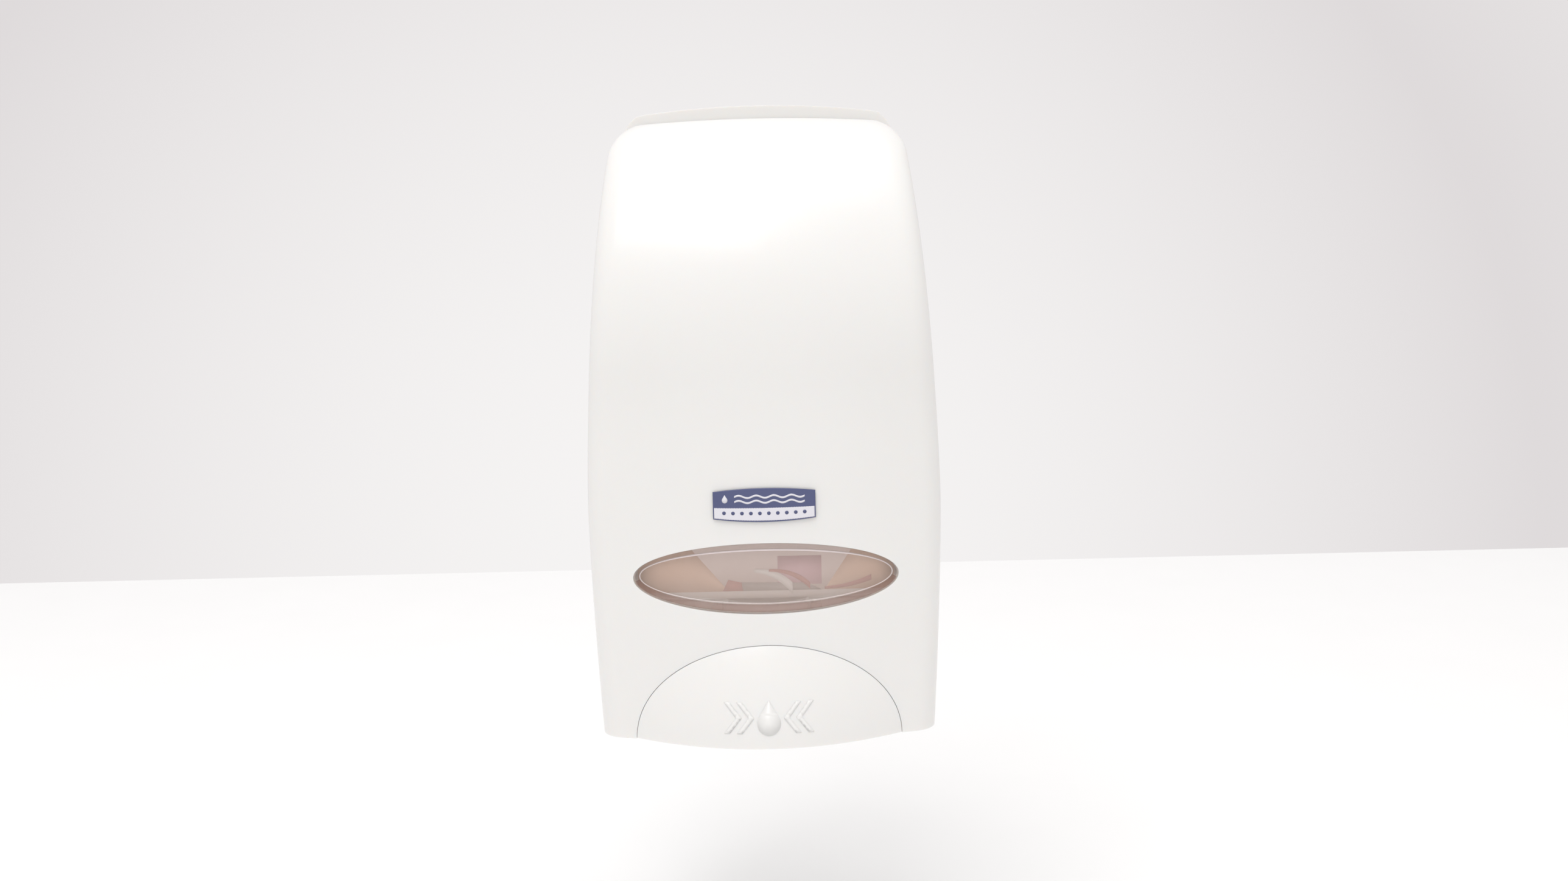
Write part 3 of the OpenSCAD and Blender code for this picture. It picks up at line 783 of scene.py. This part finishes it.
bosses = []
for side in (-1, 1):
    ends = sorted((side * 51.3, side * 56.2))
    bosses.append(turned("boss", tube(5, PIN_R + RUNNING, *ends), (0, HINGE_D, HINGE_Z), "x"))
    bosses.append(slab("boss_web", rectangle(HINGE_D, HINGE_D + 16, HINGE_Z - 5.5, HINGE_Z - 3.5),
                       *sorted((side * 54, side * 57.5)), "x"))
    lug = [(PIVOT_D + 4.5 * math.cos(math.radians(a)), PIVOT_Z + 4.5 * math.sin(math.radians(a)))
           for a in range(90, 271, 15)]
    lug += [(front_d(17, 34) - 2.2, 34), (front_d(17, 39.2) - 2.2, 39.2), (PIVOT_D + 4, 39.2)]
    bosses.append(slab("lug", lug, *sorted((side * 15, side * 19)), "x",
                       [circle(PIVOT_D, PIVOT_Z, PIN_R + RUNNING)]))
dress(soften(joined("cover_lugs", bosses), 0.35), WHITE, "cover", "case_white")

catch = slab("catch", rectangle(-9, 9, 8.5, 22), CATCH_Z, CATCH_Z + 2, "h",
             [rectangle(-5.6, 5.6, 9.9, 14.1)])
stem = slab("stem", rectangle(18.6, 22, CATCH_Z + 0.2, CATCH_Z + 4.5), -9, 9, "x")
dress(soften(joined("cover_catch", [catch, stem]), 0.35), WHITE, "cover", "case_white")

web = [(114, 33), (121, 27), (123.5, 27), (120, 34), (114, 38)]
arm = [(107, 38.5), (112, 22), (124, 22), (121, 30), (119.8, 34), (116.5, 40.5)]
knuckle = [turned("knuckle", tube(5, PIN_R + RUNNING, -14, 14), (0, PIVOT_D, PIVOT_Z), "x"),
           slab("web", web, -14, 14, "x")]
knuckle += [slab("arm", arm, *sorted((side * 11, side * 14)), "x") for side in (-1, 1)]
post_ends = [[at(x, d(x, h), h) for x, h in circle(0, PUSH_Z, r)]
             for r, d in ((6, lambda x, h: lever_d(x, h) - 1.2), (6, lambda x, h: HEAD_D + 2.8),
                          (2.05, lambda x, h: HEAD_D + 2.8), (2.05, lambda x, h: HEAD_D + 8))]
post = add_mesh("post", *loft(post_ends, ends=True))
ribs = [slab("rib", rectangle(HEAD_D + 6, 131, PUSH_Z - 0.8, PUSH_Z + 0.8),
             *sorted((side * 5.5, side * 11)), "x") for side in (-1, 1)]
dress(soften(joined("lever_arms", knuckle + [post] + ribs), 0.3), WHITE, "lever", "case_white")

# ---- the bottle, its neck and its label ----

BOTTLE_X, (BOTTLE_BACK, BOTTLE_FRONT), BOTTLE_SPAN = cad("bottle")
BOTTLE_A = BOTTLE_X[1]
BOTTLE_Z, BOTTLE_TOP = 44.8, BOTTLE_SPAN[1]
BOTTLE_R = 10.0
LEAN_Z, LEAN_R = 120.0, 90.0              # the bottle's front curves back above this height
NECK_D, NECK_R = 84.0, 14.0


def rounded_in(value, reach):
    """How far a rounded corner of that reach draws in, at a distance value from the flat it ends on"""
    return reach - math.sqrt(max(reach ** 2 - (reach - min(value, reach)) ** 2, 0))


def bottle_ring(h):
    below, above = h - BOTTLE_Z, BOTTLE_TOP - h
    half = BOTTLE_A - rounded_in(below, BOTTLE_R) - rounded_in(above, BOTTLE_R)
    front = BOTTLE_FRONT
    if h >= LEAN_Z:
        front -= LEAN_R - math.sqrt(max(LEAN_R ** 2 - (h - LEAN_Z) ** 2, 0))
    front -= rounded_in(below, 2.5) + rounded_in(above, 1.5) * 3
    back = BOTTLE_BACK + rounded_in(below, 4) + rounded_in(above, 4)
    r = BOTTLE_R
    ring = []
    for cx, cd, start in ((half - r, front - r, 0), (-half + r, front - r, 90), (-half + r, back + r, 180),
                          (half - r, back + r, 270)):
        for c in range(13):
            t = math.radians(start + 7.5 * c)
            ring.append(at(cx + r * math.cos(t), cd + r * math.sin(t), h))
    return ring


def make_bottle():
    heights = [BOTTLE_Z + BOTTLE_R * (1 - math.cos(math.radians(9 * c))) for c in range(11)]
    heights += [60, 75, 90, 105] + [LEAN_Z + 5 * c for c in range(12)]
    heights += [BOTTLE_TOP - BOTTLE_R * (1 - math.cos(math.radians(9 * c))) for c in range(9, -1, -1)]
    points, faces = loft([bottle_ring(h) for h in heights], ends=True)
    body = add_mesh("body", points, faces)
    thread = [(NECK_R - 2, 34.5), (NECK_R, 34.5)]
    for c in range(3):
        thread += [(NECK_R, 36 + 2 * c), (NECK_R + 0.04, 36.4 + 2 * c), (NECK_R, 36.8 + 2 * c)]
    neck = turned("neck", thread + [(NECK_R, 45.2), (NECK_R - 2, 45.2)], (0, NECK_D, 0), "h")
    return soften(joined("bottle_blown", [body, neck]), 0.5, angle=50)


dress(make_bottle(), BOTTLE, "wall_plate", "bottle_plastic", "bottle")

LABEL_X, LABEL_D, LABEL_H = cad("bottle_label")


def swoosh(x0, h0, x1, h1, bend, thick, grow):
    """A curved band from one point to another that widens by grow"""
    centre = []
    for c in range(21):
        t = c / 20
        nx, nz = h0 - h1, x1 - x0
        length = math.hypot(nx, nz)
        bow = bend * 4 * t * (1 - t) / length
        centre.append((x0 + (x1 - x0) * t + nx * bow, h0 + (h1 - h0) * t + nz * bow,
                       (thick + grow * t) / 2))
    return [(x, h + w) for x, h, w in centre] + [(x, h - w) for x, h, w in reversed(centre)]


LABEL_LOW, LABEL_HIGH = LABEL_H
EDGE = LABEL_X[1]
LABEL_BACK = LABEL_D[1] - 0.3             # the prints lie in steps in front of this depth
TAN_TOP = 66.0                            # the prints beside the fan end at this height


def wrapped(name, x0, x1, top, low, high):
    """A print from the label's lower edge up to top(x), wrapped round the bottle's corners"""
    rings = []
    for c in range(49):
        x = x0 + (x1 - x0) * c / 48
        d = LABEL_BACK - rounded_in(BOTTLE_A - abs(x), BOTTLE_R)
        rings.append([at(x, d + lift, h) for lift, h in ((low, LABEL_LOW), (high, LABEL_LOW),
                                                         (high, top(x)), (low, top(x)))])
    return add_mesh(name, *loft(rings, ends=True))


def fan_edge(foot, head):
    """The print beside the label's pale fan, whose edge runs from foot up to head"""
    return lambda x: min(TAN_TOP, LABEL_LOW + 0.1 + (TAN_TOP - LABEL_LOW) * (x - foot) / (head - foot))


sheet = wrapped("label_sheet", -EDGE, EDGE, lambda x: LABEL_HIGH, 0.0, 0.1)
dress(sheet, LABEL, "wall_plate", "label_paper", "bottle_label")
for name, start, foot, head in (("label_side_left", -EDGE, -13, -28), ("label_side_right", EDGE, 20, 32)):
    made = wrapped(name, start, foot, fan_edge(foot, head), 0.1, 0.12)
    dress(made, LABEL_TAN, "wall_plate", "label_paper")

PRINTS = (
    ("label_panel", LABEL_PINK, rectangle(4, 19, 50, 60), 0.12, 0.14),
    ("label_patch", LABEL_ROSE, [(-15, LABEL_LOW), (-8, LABEL_LOW), (-8.5, 51), (-13, 52)], 0.12, 0.14),
    ("label_field", LABEL_GREY, [(-8, LABEL_LOW), (19, LABEL_LOW), (14, 50.5), (-8.5, 51)], 0.14, 0.16),
    ("label_leaf", LABEL_PALE, swoosh(-4, 55, 9, 48.6, 1.6, 1.2, 3.0), 0.16, 0.18),
    ("label_stem", LABEL_ROSE, swoosh(1, 55, 15, 49.5, 1.6, 0.8, 1.6), 0.18, 0.2),
    ("label_line", LABEL_ROSE, swoosh(20, 48.6, 36, 52, -0.8, 0.8, 1.2), 0.12, 0.14),
)
for name, material, outline, low, high in PRINTS:
    made = slab(name, outline, LABEL_BACK + low, LABEL_BACK + high, "d")
    dress(made, material, "wall_plate", "label_paper")

# ---- the back plate, the pump and the latch ----

EDGES = {"back_plate": 0.5, "pump_cradle": 0.4, "latch_slide": 0.35, "latch_keeper": 0.3,
         "pump_body": 0.35, "cradle_screws": 0.15, "keeper_screws": 0.12, "cover_hinge_pins": 0.3,
         "lever_pin": 0.3, "pump_collar": 0.3, "piston_cap": 0.4, "nozzle": 0.2, "pump_piston": 0.3,
         "collar_gasket": 0.15, "outlet_valve": 0.1, "lever_buffer": 0.2, "inlet_valve": 0.1,
         "piston_seal": 0.1}              # how wide each node's edges are rounded

for node, width in EDGES.items():
    body = next(name for name, nodes in frame["record"]["behaviour"]["bodies"].items() if node in nodes)
    slot = next(p["material_slot"] for p in frame["record"]["subparts"] if p["node"] == node)
    made = refined(node, width, rim=1.1 if node == "back_plate" else 0)
    dress(made, CAD_MATERIALS[slot], body, slot, node)

PUMP_SEAT, PUMP_LENGTH, PUMP_TRAVEL = 79.6, 17.5, 5.3
LATCH_SEAT, LATCH_LENGTH, LATCH_TRAVEL = 198, 10.5, 3.5
LATCH_D = 10                              # depth of the latch springs' axes

spring = coil("pump_spring_wire", (0, PUMP_SEAT, PUSH_Z), "d", 5, 0.5, PUMP_LENGTH, 6)
dress(spring, STEEL, "wall_plate", "steel", "pump_spring")
tuple(at(0, PUMP_SEAT, PUSH_Z))
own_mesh(spring)
springs = joined("latch_spring_wires", [
    coil("wire", (side * 18, LATCH_D, LATCH_SEAT), "h", 1.9, 0.35, LATCH_LENGTH, 6) for side in (-1, 1)])
dress(springs, STEEL, "wall_plate", "steel", "latch_springs")
tuple(at(0, LATCH_D, LATCH_SEAT))
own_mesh(springs)

# ---- floor, lights and camera ----


def area_light(name, place, size, power, target, colour=(1, 1, 1)):
    data = bpy.data.lights.new(name, "AREA")
    data.size = size
    data.energy = power
    data.color = colour
    made = bpy.data.objects.new(name, data)
    made.location = place
    made.rotation_euler = (Vector(target) - Vector(place)).to_track_quat("-Z", "Y").to_euler()
    bpy.context.scene.collection.objects.link(made)


FLOOR_DROP = 0.115                        # the open cover hangs this far below the bottom edge
FLOOR_BACK = 0.593                        # how far the floor reaches behind the wall plane
BRIGHTEST = (-0.042, 0.977, -0.211)       # direction of the backdrop's brightest spot


def make_stage():
    bm = bmesh.new()
    bmesh.ops.create_grid(bm, x_segments=12, y_segments=8, size=1)
    for vert in bm.verts:
        vert.co.x *= 4
        vert.co.y = vert.co.y * 3 - 3 + FLOOR_BACK
    floor = placed("floor", bm)
    floor.location = (0, 0, BASE - FLOOR_DROP)
    floor.data.materials.append(surface("floor_pale", (0.9, 0.9, 0.9), 0.6, variation=0.005, bump=0.0))
    world = bpy.data.worlds.new("studio")
    world.use_nodes = True
    tree = world.node_tree
    view = tree.nodes.new("ShaderNodeTexCoord")
    nearness = tree.nodes.new("ShaderNodeVectorMath")
    nearness.operation = "DOT_PRODUCT"
    nearness.inputs[1].default_value = BRIGHTEST
    tone = tree.nodes.new("ShaderNodeValToRGB")
    ramp = tone.color_ramp
    ramp.elements[0].position = 0.8
    ramp.elements[0].color = (0.86, 0.845, 0.84, 1)
    ramp.elements[1].position = 1.0
    ramp.elements[1].color = (0.915, 0.90, 0.895, 1)
    ramp.elements.new(0.905).color = (0.735, 0.705, 0.71, 1)
    tree.links.new(view.outputs["Generated"], nearness.inputs[0])
    tree.links.new(nearness.outputs["Value"], tone.inputs[0])
    tree.links.new(tone.outputs[0], tree.nodes["Background"].inputs[0])
    bpy.context.scene.world = world
    target = (0, -0.06, BASE + 0.1)
    area_light("key", (-0.28, -0.75, BASE + 1.5), 0.8, 7.3, target)
    area_light("top", (0.0, -0.1, BASE + 1.5), 1.0, 5, target)
    area_light("fill", (0.0, -0.75, BASE - 0.08), 0.5, 0.2, (0, -0.12, BASE + 0.02))
    bpy.context.scene.view_settings.view_transform = "Standard"


def make_camera():
    """The photo's view: 0.72 m from the wall, level with the dispenser's top and looking down a little"""
    place = (0.0047, -0.7202, BASE + 0.2046)
    yaw, pitch, roll = 0.004, 0.1704, -0.022
    ahead = Vector((math.sin(yaw) * math.cos(pitch), math.cos(yaw) * math.cos(pitch), -math.sin(pitch)))
    level = Vector((math.cos(yaw), -math.sin(yaw), 0))
    over = level.cross(ahead)
    right = level * math.cos(roll) + over * math.sin(roll)
    up = over * math.cos(roll) - level * math.sin(roll)
    data = bpy.data.cameras.new("camera")
    data.sensor_width = 36
    data.lens = 41.93
    camera = bpy.data.objects.new("camera", data)
    turn = Matrix((right, up, -ahead)).transposed().to_4x4()
    camera.matrix_world = Matrix.Translation(place) @ turn
    bpy.context.scene.collection.objects.link(camera)
    bpy.context.scene.camera = camera


make_stage()
make_camera()
